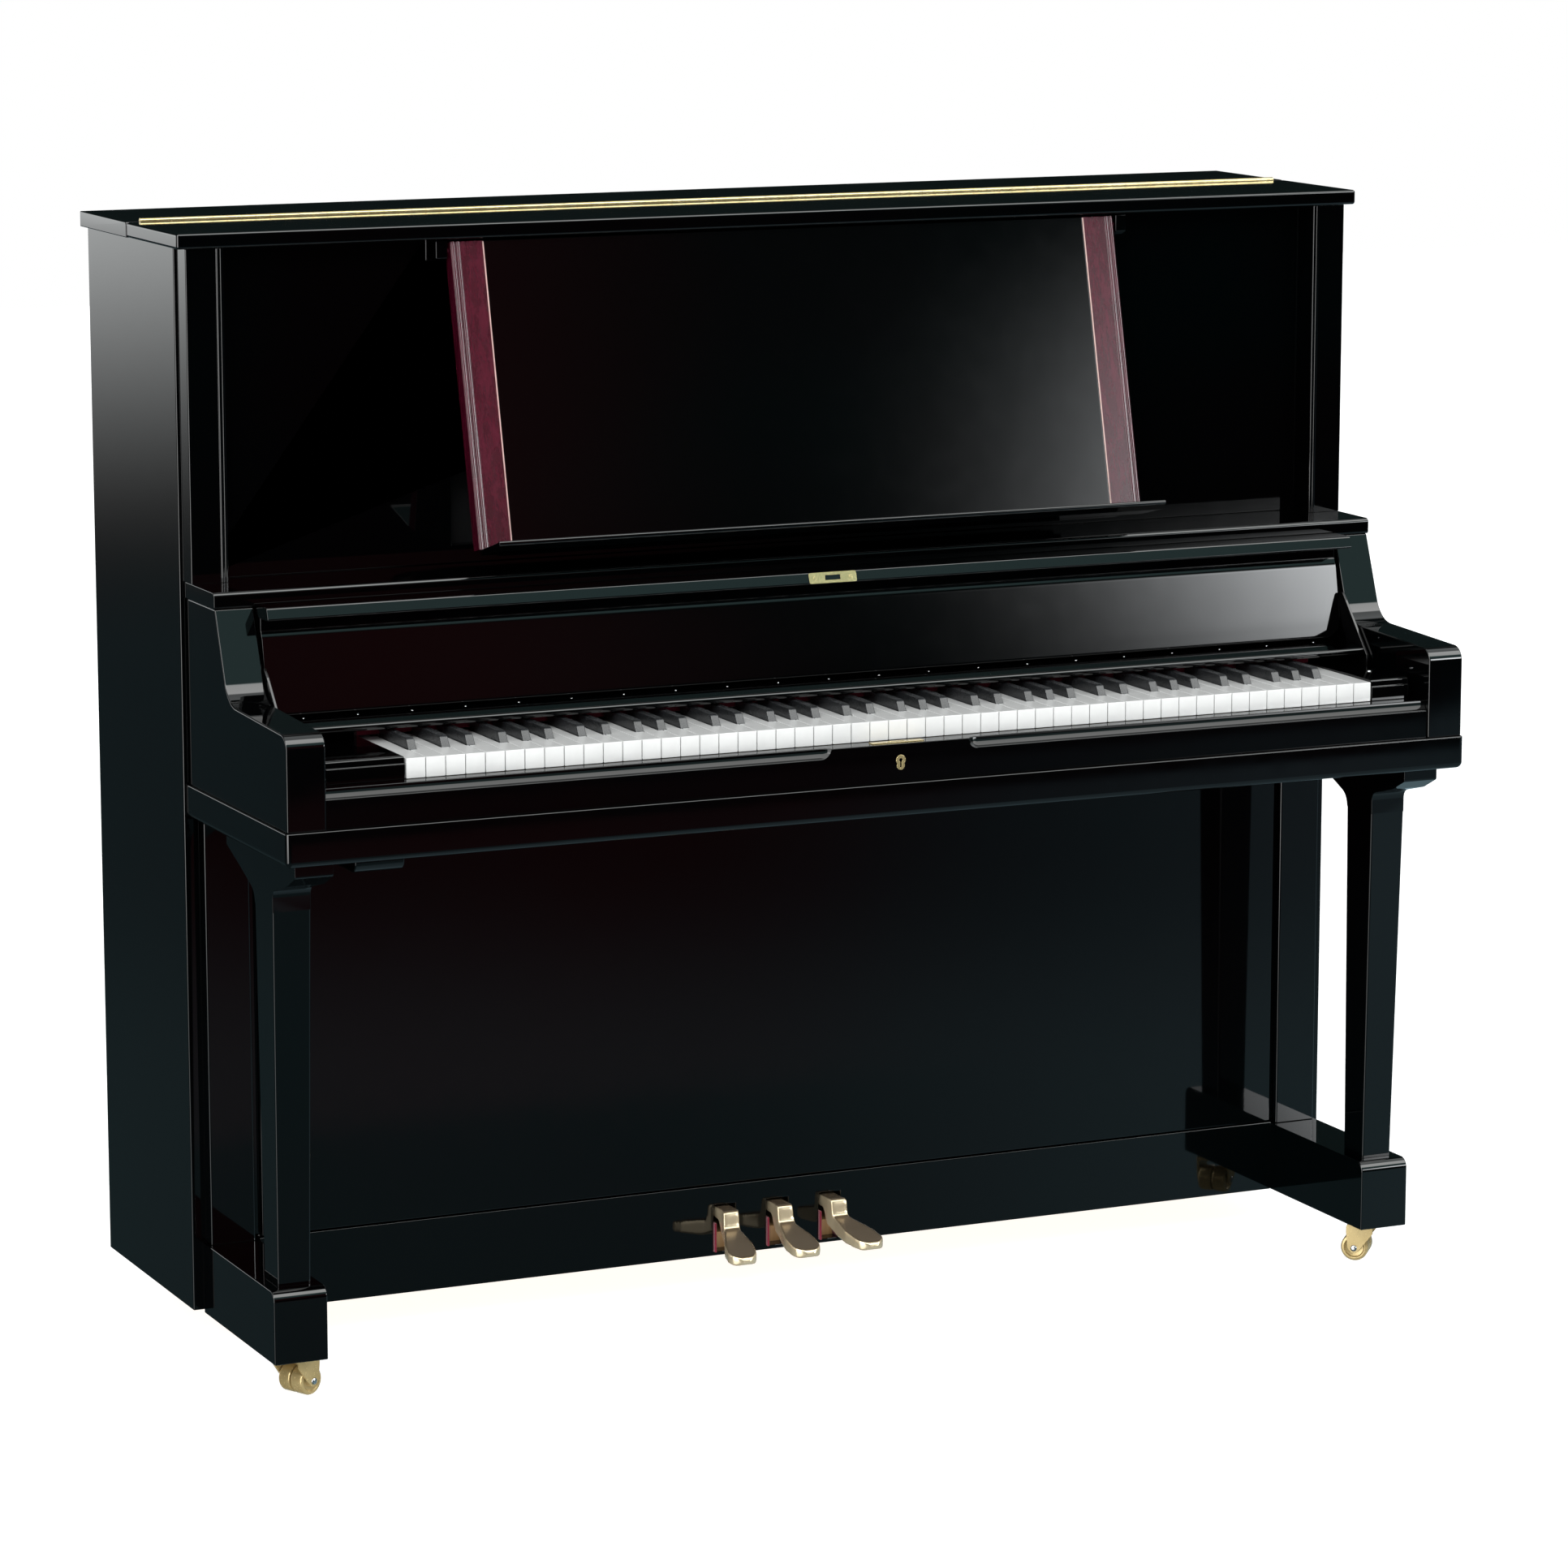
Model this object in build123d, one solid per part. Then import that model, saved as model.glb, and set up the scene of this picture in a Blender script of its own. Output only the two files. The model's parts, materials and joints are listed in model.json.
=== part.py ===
"""Full-size upright piano in black polyester, opened for playing.

Millimetres. X runs to the player's right, Y to the back and Z up. The origin is on the floor,
under the middle of the case. The lid is shut, the fallboard is open and the music desk leans out.
"""
import os
from math import atan2, cos, radians, sin

from build123d import *

# ---- Case ----------------------------------------------------------------------------------
FRONT_Y = -325.0            # front edge of the keybed
BACK_Y = 325.0              # back of the case
SIDE_FRONT_Y = 13.0         # front edge of the two side panels
SIDE_OUTER_X = 751.0
SIDE_THICKNESS = 24.0
SIDE_BOTTOM_Z = 51.0
CASE_TOP_Z = 1288.0
GAP = 0.5                   # air between a fixed face and a moving one

LID_HALF_WIDTH = 760.0
LID_FRONT_Y = -27.0
LID_TOP_Z = 1306.0
LID_HINGE_Y = 152.0
LID_HINGE_Z = 1306.8

KNUCKLE_RADIUS = 3.2
KNUCKLE_PITCH = 17.5
KNUCKLE_COUNT = 85
HINGE_PIN_RADIUS = 1.2
RUNNING_CLEARANCE = 0.08    # radial, for every pin and bore

# ---- Upper case ----------------------------------------------------------------------------
SHELF_TOP_Z = 909.0
SHELF_BOTTOM_Z = 890.0
SHELF_FRONT_Y = -94.0
SHELF_HALF_WIDTH = 747.0
POST_INNER_X = 704.0
POST_OUTER_X = 748.0
POST_FRONT_Y = -20.0
PANEL_FRONT_Y = 15.0
PANEL_BACK_Y = 33.0
INNER_HALF_WIDTH = SIDE_OUTER_X - SIDE_THICKNESS

# ---- Music desk ----------------------------------------------------------------------------
DESK_LEAN = radians(13.4)   # from upright, as it stands open
DESK_HALF_WIDTH = 428.0
DESK_STRIP_WIDTH = 41.0
DESK_THICKNESS = 18.0
DESK_PIVOT = (-8.0, 1274.0)
DESK_LENGTH = 346.0         # along its face, below the pivot
LEDGE_LENGTH = 64.0

# ---- Key bed, cheeks and keyslip -----------------------------------------------------------
KEYBED_HALF_WIDTH = 748.0
KEYBED_TOP_Z = 674.0
KEYBED_BOTTOM_Z = 635.0
CHEEK_INNER_X = 700.0
CHEEK_OUTER_X = 745.5
CHEEK_FRONT_Y = -321.5
KEYSLIP_FRONT_Y = -318.0
KEYSLIP_BACK_Y = -295.0
KEYSLIP_TOP_Z = 719.0
COVE_RADIUS = 16.0
COVE_START_X = 84.0

# ---- Keyboard ------------------------------------------------------------------------------
WHITE_COUNT = 52
KEY_PITCH = 23.7
KEY_GAP = 1.0
KEYBOARD_CENTRE_X = 21.0
KEY_FRONT_Y = -292.0
KEY_HEAD_LENGTH = 50.0
KEY_VISIBLE_LENGTH = 148.0
KEY_BACK_Y = 100.0
KEY_TOP_Z = 742.0
KEY_BOTTOM_Z = 718.0
SHARP_HEIGHT = 12.0
SHARP_WIDTH = 10.0
BALANCE_Y = -60.0
FIRST_WHITE_X = KEYBOARD_CENTRE_X - WHITE_COUNT * KEY_PITCH / 2
MIDDLE_C = 23               # place of middle C among the white keys, counted from 0
# Shift of each black key from the line between its two white keys, in white keys.
SHARP_SHIFT = {0: -0.14, 1: 0.14, 3: -0.18, 4: 0.0, 5: 0.18}

# ---- Fallboard -----------------------------------------------------------------------------
FALLBOARD_PIVOT = (-166.4, 743.1)
FALLBOARD_HALF_WIDTH = 695.0
LIP_HALF_WIDTH = 698.5
SWING_ARM_INNER_X = 691.0
SWING_ARM_OUTER_X = 698.5

# ---- Lower case ----------------------------------------------------------------------------
LOWER_FRONT_Y = -5.0
LOWER_POST_INNER_X = 680.0
LOWER_POST_OUTER_X = 734.0
BOTTOM_RAIL_TOP_Z = 134.0
TOE_INNER_X = 674.0
TOE_OUTER_X = 738.0
TOE_FRONT_Y = -230.0
TOE_TOP_Z = 132.0
BASE_Z = 47.0               # underside of the toe blocks and the bottom board
LEG_CENTRE_X = 706.0
LEG_CENTRE_Y = -190.0
LEG_TOP_Z = 566.0

# ---- Pedals --------------------------------------------------------------------------------
PEDAL_PITCH = 70.0
PEDAL_GROUP_X = -12.0       # the pedals stand a little left of the middle
PEDAL_SPLAY = 0.2           # sideways run of the outer pedals per millimetre forward
PEDAL_PIVOT = (75.0, 100.0)
PEDAL_NECK_WIDTH = 20.0
PEDAL_TIP_WIDTH = 37.0
PEDAL_TIP_Y = -104.0
SLOT_WIDTH = 29.0
SLOT_BOTTOM_Z = 52.0
SLOT_TOP_Z = 110.0
SLOT_FELT_TOP_Z = 88.0

# ---- Casters -------------------------------------------------------------------------------
WHEEL_RADIUS = 17.0
WHEEL_WIDTH = 18.0
WHEEL_GAP = 1.5             # between the two wheels of one caster
CASTER_TRAIL = 14.0
AXLE_RADIUS = 3.0
STEM_RADIUS = 4.0
FRONT_CASTER = (706.0, -194.0)
REAR_CASTER = (640.0, 262.0)
LEFT_SWIVEL = -64.0         # how the two front casters stand turned, in degrees
RIGHT_SWIVEL = 50.0

# ---- Inside --------------------------------------------------------------------------------
POST_COUNT = 5
BACK_POST_WIDTH = 76.0
FRAME_FRONT_Y = 245.0
SOUNDBOARD_FRONT_Y = 215.0
SOUNDBOARD_THICKNESS = 8.0
BRIDGE_FRONT_Y = 171.5
PLATE_FRONT_Y = 192.0
PLATE_BACK_Y = 206.0
STRING_COUNT = 88
BASS_STRING_COUNT = 28
STRING_SPAN_X = 1220.0

NODES = {}


# ---- Helpers -------------------------------------------------------------------------------
def block(x0, x1, y0, y1, z0, z1):
    """Straight-sided block between two corners."""
    size = Box(x1 - x0, y1 - y0, z1 - z0)
    return Pos((x0 + x1) / 2, (y0 + y1) / 2, (z0 + z1) / 2) * size


def side_plane(x):
    """Plane across the piano at x, whose local axes are Y and Z."""
    return Plane(origin=(x, 0, 0), x_dir=(0, 1, 0), z_dir=(1, 0, 0))


def prism(points, x0, x1, radii=None):
    """Side-view outline of (y, z) points, with an optional corner radius each, stretched along X."""
    if radii:
        outline = FilletPolyline(*points, radius=radii, close=True)
    else:
        outline = Polyline(*points, close=True)
    return extrude(side_plane(x0) * make_face(outline), amount=x1 - x0)


def rod(start, end, radius):
    """Round bar between two points."""
    axis = Vector(end) - Vector(start)
    return extrude(Plane(origin=start, z_dir=axis) * Circle(radius), amount=axis.length)


def rounded(solid, radius, axis, pick=None):
    """Solid with its edges along one axis rounded, or only those that pick accepts."""
    edges = solid.edges().filter_by(axis)
    if pick:
        edges = ShapeList([edge for edge in edges if pick(edge.center())])
    return fillet(edges, radius)


def both_sides(solid):
    """A right-hand solid and its mirror image on the left."""
    return [solid, mirror(solid, Plane.YZ)]


def turned(point, pivot, angle):
    """A (y, z) point turned about a (y, z) pivot, positive from Y towards Z."""
    y = point[0] - pivot[0]
    z = point[1] - pivot[1]
    return (
        pivot[0] + y * cos(angle) - z * sin(angle),
        pivot[1] + y * sin(angle) + z * cos(angle),
    )


# ---- Case ----------------------------------------------------------------------------------
def side_panels():
    inner = INNER_HALF_WIDTH
    panel = block(inner, SIDE_OUTER_X, SIDE_FRONT_Y, BACK_Y, SIDE_BOTTOM_Z, CASE_TOP_Z)
    panel = rounded(panel, 2, Axis.Z, lambda at: at.X > inner + 1)
    NODES["right_side_panel"] = [panel]
    NODES["left_side_panel"] = [mirror(panel, Plane.YZ)]


def lid():
    groove = rod((-LID_HALF_WIDTH, LID_HINGE_Y, LID_HINGE_Z), (LID_HALF_WIDTH, LID_HINGE_Y, LID_HINGE_Z),
                 KNUCKLE_RADIUS + GAP)
    half = LID_HALF_WIDTH
    front = block(-half, half, LID_FRONT_Y, LID_HINGE_Y - 1.5, CASE_TOP_Z + GAP, LID_TOP_Z)
    front = rounded(front, 4, Axis.Z, lambda at: at.Y < 0)
    front = rounded(front, 3, Axis.X, lambda at: at.Y < 0)
    rear = block(-half, half, LID_HINGE_Y + 1.5, BACK_Y, CASE_TOP_Z, LID_TOP_Z)
    NODES["front_lid"] = [front - groove]
    NODES["rear_lid"] = [rear - groove]


def lid_hinge():
    """Continuous hinge: each leaf stands in the joint, and the knuckles take turns along one pin."""
    half = KNUCKLE_COUNT * KNUCKLE_PITCH / 2
    leaf_bottom = CASE_TOP_Z + 2
    leaf_top = LID_HINGE_Z - KNUCKLE_RADIUS - GAP
    front_leaf = block(-half, half, LID_HINGE_Y - 1.5, LID_HINGE_Y - GAP, leaf_bottom, leaf_top)
    rear_leaf = block(-half, half, LID_HINGE_Y + GAP, LID_HINGE_Y + 1.5, leaf_bottom, leaf_top)
    front_parts = [front_leaf]
    rear_parts = [rear_leaf]
    ends = ((-half, LID_HINGE_Y, LID_HINGE_Z), (half, LID_HINGE_Y, LID_HINGE_Z))
    rear_parts.append(rod(*ends, HINGE_PIN_RADIUS))
    for index in range(KNUCKLE_COUNT):
        x0 = -half + index * KNUCKLE_PITCH + 0.2
        x1 = x0 + KNUCKLE_PITCH - 0.4
        barrel = rod((x0, LID_HINGE_Y, LID_HINGE_Z), (x1, LID_HINGE_Y, LID_HINGE_Z), KNUCKLE_RADIUS)
        neck_top = LID_HINGE_Z - KNUCKLE_RADIUS + 1
        if index % 2:
            neck = block(x0, x1, LID_HINGE_Y - 1.5, LID_HINGE_Y - GAP, leaf_top - 1, neck_top)
            front_parts += [barrel, neck]
        else:
            neck = block(x0, x1, LID_HINGE_Y + GAP, LID_HINGE_Y + 1.5, leaf_top - 1, neck_top)
            rear_parts += [barrel, neck]
    bore = rod(*ends, HINGE_PIN_RADIUS + RUNNING_CLEARANCE)
    NODES["lid_hinge_front_leaf"] = [front_parts[0].fuse(*front_parts[1:]).cut(bore)]
    NODES["lid_hinge_rear_leaf"] = [rear_parts[0].fuse(*rear_parts[1:])]


def upper_case():
    post = block(POST_INNER_X, POST_OUTER_X, POST_FRONT_Y, SIDE_FRONT_Y, SHELF_TOP_Z, CASE_TOP_Z)
    post = rounded(post, 2, Axis.Z, lambda at: at.Y < 0 and at.X > LEG_CENTRE_X)
    for bead_x in (POST_INNER_X + 2, POST_INNER_X + 6):
        post += rod((bead_x, POST_FRONT_Y, SHELF_TOP_Z), (bead_x, POST_FRONT_Y, CASE_TOP_Z), 2)
    NODES["upper_posts"] = both_sides(post)

    inner = INNER_HALF_WIDTH
    panel = block(-inner, inner, PANEL_FRONT_Y, PANEL_BACK_Y, SHELF_TOP_Z, CASE_TOP_Z)
    opening = block(-418, 418, 0, 60, 930, 1262)
    panel -= opening
    lug = prism([(-17, 1266), (-8, 1262), (PANEL_FRONT_Y, 1262), (PANEL_FRONT_Y, 1286), (-17, 1286)], 432, 446)
    bore = rod((420, *DESK_PIVOT), (444, *DESK_PIVOT), 3 + RUNNING_CLEARANCE)
    lug -= bore
    NODES["upper_front_panel"] = [panel + lug + mirror(lug, Plane.YZ)]

    shelf = block(-SHELF_HALF_WIDTH, SHELF_HALF_WIDTH, SHELF_FRONT_Y, SIDE_FRONT_Y, SHELF_BOTTOM_Z, SHELF_TOP_Z)
    shelf = rounded(shelf, 5, Axis.X, lambda at: at.Y < 0 and at.Z > SHELF_BOTTOM_Z + 1)
    shelf = rounded(shelf, 3, Axis.X, lambda at: at.Y < 0 and at.Z < SHELF_BOTTOM_Z + 1)
    shelf += block(-inner, inner, SIDE_FRONT_Y, PANEL_BACK_Y, SHELF_BOTTOM_Z, SHELF_TOP_Z)
    NODES["shelf"] = [shelf]


# ---- Music desk ----------------------------------------------------------------------------
def leaned(y, z):
    """A point of the upright desk, counted from its pivot, once the desk leans out."""
    return turned((DESK_PIVOT[0] + y, DESK_PIVOT[1] + z), DESK_PIVOT, -DESK_LEAN)


def leaned_prism(points, x0, x1, radii=None):
    return prism([leaned(y, z) for y, z in points], x0, x1, radii)


def music_desk():
    front = -DESK_THICKNESS / 2
    back = DESK_THICKNESS / 2
    bottom = -DESK_LENGTH
    top = 9.0
    face = [(front, bottom), (front, top), (back, top), (back, bottom)]
    inner = DESK_HALF_WIDTH - DESK_STRIP_WIDTH
    desk = leaned_prism(face, -inner, inner)
    pin = rod((DESK_HALF_WIDTH, *DESK_PIVOT), (443, *DESK_PIVOT), 3)
    foot = leaned_prism([(front, bottom - 7), (front, bottom), (back, bottom), (back, bottom - 7)], -400, 400)
    NODES["music_desk"] = [desk + foot]

    bead = 2.0
    strip = leaned_prism(face, inner, DESK_HALF_WIDTH)
    for offset in (3.0, 9.0):
        low = (DESK_HALF_WIDTH - offset, *leaned(front, bottom))
        high = (DESK_HALF_WIDTH - offset, *leaned(front, top))
        strip += rod(low, high, bead)
    NODES["desk_side_strips"] = both_sides(strip + pin)

    ledge_front = front - LEDGE_LENGTH
    ledge = [
        (front - 3, bottom - 7), (front - 3, bottom - 0.5), (ledge_front + 5, bottom + 2),
        (ledge_front, bottom + 4), (ledge_front, bottom - 2), (ledge_front + 14, bottom - 7),
    ]
    NODES["desk_ledge"] = [leaned_prism(ledge, -DESK_HALF_WIDTH, DESK_HALF_WIDTH, [1, 0, 2, 2, 3, 10])]


# ---- Key bed, cheeks and keyslip -----------------------------------------------------------
def cheeks():
    """Cheeks at the two ends of the keyboard, with the scroll below the shelf."""
    outline = [
        (SIDE_FRONT_Y, KEYBED_TOP_Z), (SIDE_FRONT_Y, SHELF_BOTTOM_Z), (-92, SHELF_BOTTOM_Z), (-130.6, 788),
        (CHEEK_FRONT_Y, 781.5), (CHEEK_FRONT_Y, KEYBED_TOP_Z),
    ]
    cheek = prism(outline, CHEEK_INNER_X, CHEEK_OUTER_X, [0, 0, 0, 39, 17, 0])
    pivot = FALLBOARD_PIVOT
    cheek -= rod((CHEEK_INNER_X - 1, *pivot), (CHEEK_INNER_X + 13, *pivot), 4 + RUNNING_CLEARANCE)
    NODES["right_cheek"] = [cheek]
    NODES["left_cheek"] = [mirror(cheek, Plane.YZ)]


def keybed():
    half = KEYBED_HALF_WIDTH
    bed = block(-half, half, FRONT_Y, SIDE_FRONT_Y, KEYBED_BOTTOM_Z, KEYBED_TOP_Z)
    bed = rounded(bed, 6, Axis.Z, lambda at: at.Y < 0)
    lower = ShapeList([e for e in bed.edges() if abs(e.center().Z - KEYBED_BOTTOM_Z) < 0.1])
    lower = ShapeList([e for e in lower if e.center().Y < SIDE_FRONT_Y - 1])
    bed = fillet(lower, 7)
    inner = INNER_HALF_WIDTH
    bed += block(-inner, inner, SIDE_FRONT_Y, 130, KEYBED_BOTTOM_Z, KEYBED_TOP_Z)
    NODES["keybed"] = [bed]
    box = block(-664, -606, FRONT_Y + 12, FRONT_Y + 112, KEYBED_BOTTOM_Z - 14, KEYBED_BOTTOM_Z)
    NODES["keybed_box"] = [rounded(box, 12, Axis.X, lambda at: at.Z < KEYBED_BOTTOM_Z - 1)]


def keyslip():
    half = CHEEK_INNER_X
    slip = block(-half, half, KEYSLIP_FRONT_Y, KEYSLIP_BACK_Y, KEYBED_TOP_Z, KEYSLIP_TOP_Z)
    depth = 7.0
    centre = (KEYSLIP_FRONT_Y - COVE_RADIUS + depth, KEYSLIP_TOP_Z + 1.5)
    cove = rod((COVE_START_X + 16, *centre), (half + 1, *centre), COVE_RADIUS)
    run_out = Pos(COVE_START_X + 16, *centre) * Sphere(COVE_RADIUS)
    for tool in both_sides(cove) + both_sides(run_out):
        slip -= tool
    NODES["keyslip"] = [slip]
    plate = block(-33, 33, KEYSLIP_FRONT_Y + 6, KEYSLIP_FRONT_Y + 16, KEYSLIP_TOP_Z, KEYSLIP_TOP_Z + 1)
    hole = block(-10, 10, KEYSLIP_FRONT_Y + 9, KEYSLIP_FRONT_Y + 13, KEYSLIP_TOP_Z - 1, KEYSLIP_TOP_Z + 2)
    face = Plane(origin=(0, KEYSLIP_FRONT_Y, 697), x_dir=(1, 0, 0), z_dir=(0, -1, 0))
    escutcheon = extrude(face * (Pos(0, 3) * Circle(6) + Pos(0, -3.5) * Circle(5) + Rectangle(9, 7)), amount=1.2)
    keyhole = extrude(face * (Pos(0, 3) * Circle(2.2) + Pos(0, -2) * Rectangle(2, 8)), amount=1.3)
    NODES["keyslip_lock"] = [plate - hole, escutcheon - keyhole]


def key_blocks():
    """Blocks that fill the keyboard's two ends, a narrow gap short of the cheeks."""
    last_white_x = FIRST_WHITE_X + WHITE_COUNT * KEY_PITCH
    top = KEY_TOP_Z + 2
    blocks = []
    for x0, x1 in ((last_white_x + 1, SWING_ARM_INNER_X - 2), (2 - SWING_ARM_INNER_X, FIRST_WHITE_X - 1)):
        body = block(x0, x1, KEY_FRONT_Y, -100, KEYBED_TOP_Z, top - 8)
        step = block(x0, x1, KEY_FRONT_Y + 2, -100, top - 8, top)
        blocks.append(body + rounded(step, 2, Axis.X, lambda at: at.Y < 0 and at.Z > KEY_TOP_Z - 1))
    NODES["key_blocks"] = blocks


# ---- Keyboard ------------------------------------------------------------------------------
def sharp_centres():
    """Place of each black key: the white key on its left, and its centre in X."""
    centres = []
    for white in range(WHITE_COUNT - 1):
        step = (white - 2) % 7          # 0 for C, 1 for D and on up to 6 for B
        if step in SHARP_SHIFT:
            centres.append((white, FIRST_WHITE_X + (white + 1 + SHARP_SHIFT[step]) * KEY_PITCH))
    return centres


def white_key(index, centres):
    x0 = FIRST_WHITE_X + index * KEY_PITCH + KEY_GAP / 2
    x1 = x0 + KEY_PITCH - KEY_GAP
    head_back = KEY_FRONT_Y + KEY_HEAD_LENGTH
    visible_back = KEY_FRONT_Y + KEY_VISIBLE_LENGTH
    clear = SHARP_WIDTH / 2 + 1.2
    tail_x0 = x0
    tail_x1 = x1
    for white, centre in centres:
        if white == index:
            tail_x1 = centre - clear
        if white == index - 1:
            tail_x0 = centre + clear
    head = block(x0, x1, KEY_FRONT_Y, head_back, KEY_TOP_Z - 23, KEY_TOP_Z)
    tail = block(tail_x0, tail_x1, head_back, visible_back, KEY_BOTTOM_Z, KEY_TOP_Z)
    stick = block(tail_x0, tail_x1, visible_back, KEY_BACK_Y, KEY_BOTTOM_Z, KEY_TOP_Z - 3)
    return head + tail + stick


def black_key(centre):
    half = SHARP_WIDTH / 2
    front = KEY_FRONT_Y + KEY_HEAD_LENGTH + 1.5
    back = KEY_FRONT_Y + KEY_VISIBLE_LENGTH - 3
    top = KEY_TOP_Z + SHARP_HEIGHT
    outline = [
        (front, KEY_BOTTOM_Z), (front, KEY_TOP_Z - 1), (front + 7, top - 1.5), (front + 12, top),
        (back, top), (back, KEY_TOP_Z - 3), (KEY_BACK_Y, KEY_TOP_Z - 3), (KEY_BACK_Y, KEY_BOTTOM_Z),
    ]
    return prism(outline, centre - half, centre + half)


def keyboard():
    """Five keys from middle C have nodes of their own, and the others stand in four groups."""
    centres = sharp_centres()
    single_whites = {MIDDLE_C: "key_middle_c", MIDDLE_C + 1: "key_d", MIDDLE_C + 2: "key_e"}
    single_blacks = {MIDDLE_C: "key_c_sharp", MIDDLE_C + 1: "key_d_sharp"}
    for name in ("bass_white_keys", "treble_white_keys", "bass_black_keys", "treble_black_keys"):
        NODES[name] = []
    for index in range(WHITE_COUNT):
        key = white_key(index, centres)
        if index in single_whites:
            NODES[single_whites[index]] = [key]
        else:
            NODES["bass_white_keys" if index < MIDDLE_C else "treble_white_keys"].append(key)
    for white, centre in centres:
        key = black_key(centre)
        if white in single_blacks:
            NODES[single_blacks[white]] = [key]
        else:
            NODES["bass_black_keys" if white < MIDDLE_C else "treble_black_keys"].append(key)


def key_frame():
    """Front, balance and back rails under the keys."""
    x0 = FIRST_WHITE_X
    x1 = FIRST_WHITE_X + WHITE_COUNT * KEY_PITCH
    rails = []
    for y0, y1, top in ((-275, -235, 703), (BALANCE_Y - 22, BALANCE_Y + 22, 716.5), (60, 95, 717.5)):
        rails.append(block(x0, x1, y0, y1, KEYBED_TOP_Z, top))
    NODES["key_frame"] = rails


def nameboard_rail():
    half = SWING_ARM_INNER_X - 2
    rail = block(-half, half, -188, -100, 757, 765)
    rail = rounded(rail, 3.5, Axis.X, lambda at: at.Y < -180)
    rail += block(-half, half, -100, -78, 757, 765) + block(-half, half, -86, -78, 765, SHELF_BOTTOM_Z)
    NODES["nameboard_rail"] = [rail]
    x0 = FIRST_WHITE_X - 1
    x1 = FIRST_WHITE_X + WHITE_COUNT * KEY_PITCH + 1
    NODES["key_felt"] = [block(x0, x1, -140, -130, KEY_TOP_Z + 1.5, 757)]


# ---- Fallboard -----------------------------------------------------------------------------
def fallboard():
    """Curved-front board: the flat that faces the player, the neck behind it and the front lip."""
    half = FALLBOARD_HALF_WIDTH
    panel = prism([(-121.5, 768), (-105.8, 853.5), (-101.4, 863.5), (-90, 867), (-90, 858), (-106.5, 768)],
                  -half, half, [3, 0, 2, 2, 0, 3])
    neck = prism([(-101, 850), (-101, 884), (-97, 884), (-90, 866), (-91.5, 850)], -half, half)
    lip_half = LIP_HALF_WIDTH
    lip = prism([(-137, 879.5), (-132, 894), (-97, 894), (-97, 883), (-108, 879.5)], -lip_half, lip_half,
                [2, 3, 2, 0, 0])
    board = panel + neck + lip
    corner = block(half - 25, half + 1, -130, -80, 760, 793)
    keep = rod((half - 25, -131, 793), (half - 25, -79, 793), 25)
    bite = corner - keep
    board = board - bite - mirror(bite, Plane.YZ)
    NODES["fallboard"] = [board]

    lean = atan2(5.0, 14.5)
    strike = Plane(origin=(0, -134.5, 886.75), x_dir=(1, 0, 0), z_dir=(0, -cos(lean), sin(lean)))
    outline = RectangleRounded(61, 13, 2) - Rectangle(20, 6)
    plate = extrude(strike * outline, amount=0.9)
    screws = extrude(strike * (Pos(-23, 0) * Circle(2) + Pos(23, 0) * Circle(2)), amount=1.6)
    NODES["fallboard_strike_plate"] = [plate + screws]


def swing_arms():
    """Flat arms in the gaps beside the key blocks, which carry the fallboard on two pins."""
    y, z = FALLBOARD_PIVOT
    outline = [(-112, 832), (-129, 815), (-184, 752), (-176, 728), (-156, 731), (-112, 800)]
    arm = prism(outline, SWING_ARM_INNER_X + 4.5, SWING_ARM_OUTER_X, [6, 8, 12, 10, 10, 8])
    arm += rod((SWING_ARM_INNER_X + 4.5, y, z), (CHEEK_INNER_X + 12, y, z), 4)
    NODES["fallboard_arms"] = both_sides(arm)


# ---- Lower case ----------------------------------------------------------------------------
def lower_case():
    back = SIDE_FRONT_Y
    post = block(LOWER_POST_INNER_X, LOWER_POST_OUTER_X, LOWER_FRONT_Y - 1, back, TOE_TOP_Z, KEYBED_BOTTOM_Z)
    post = rounded(post, 2, Axis.Z, lambda at: at.Y < 0)
    NODES["lower_posts"] = both_sides(post)
    half = LOWER_POST_INNER_X - 9
    panel = block(-half, half, LOWER_FRONT_Y, back, BOTTOM_RAIL_TOP_Z + 2, KEYBED_BOTTOM_Z)
    panel += block(-LOWER_POST_INNER_X, LOWER_POST_INNER_X, back - 9, back, BOTTOM_RAIL_TOP_Z + 2,
                   KEYBED_BOTTOM_Z)
    NODES["lower_front_panel"] = [panel]

    rail = block(-TOE_INNER_X, TOE_INNER_X, LOWER_FRONT_Y, back, BASE_Z, BOTTOM_RAIL_TOP_Z)
    rail += block(-TOE_INNER_X, TOE_INNER_X, back - 9, back, BOTTOM_RAIL_TOP_Z, BOTTOM_RAIL_TOP_Z + 2)
    for centre in pedal_centres():
        x0 = centre - SLOT_WIDTH / 2
        rail -= block(x0, x0 + SLOT_WIDTH, LOWER_FRONT_Y - 1, back + 1, SLOT_BOTTOM_Z, SLOT_TOP_Z)
    NODES["bottom_rail"] = [rail]
    inner = INNER_HALF_WIDTH
    NODES["bottom_board"] = [block(-inner, inner, back, BACK_Y, BASE_Z, BASE_Z + 24)]


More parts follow.
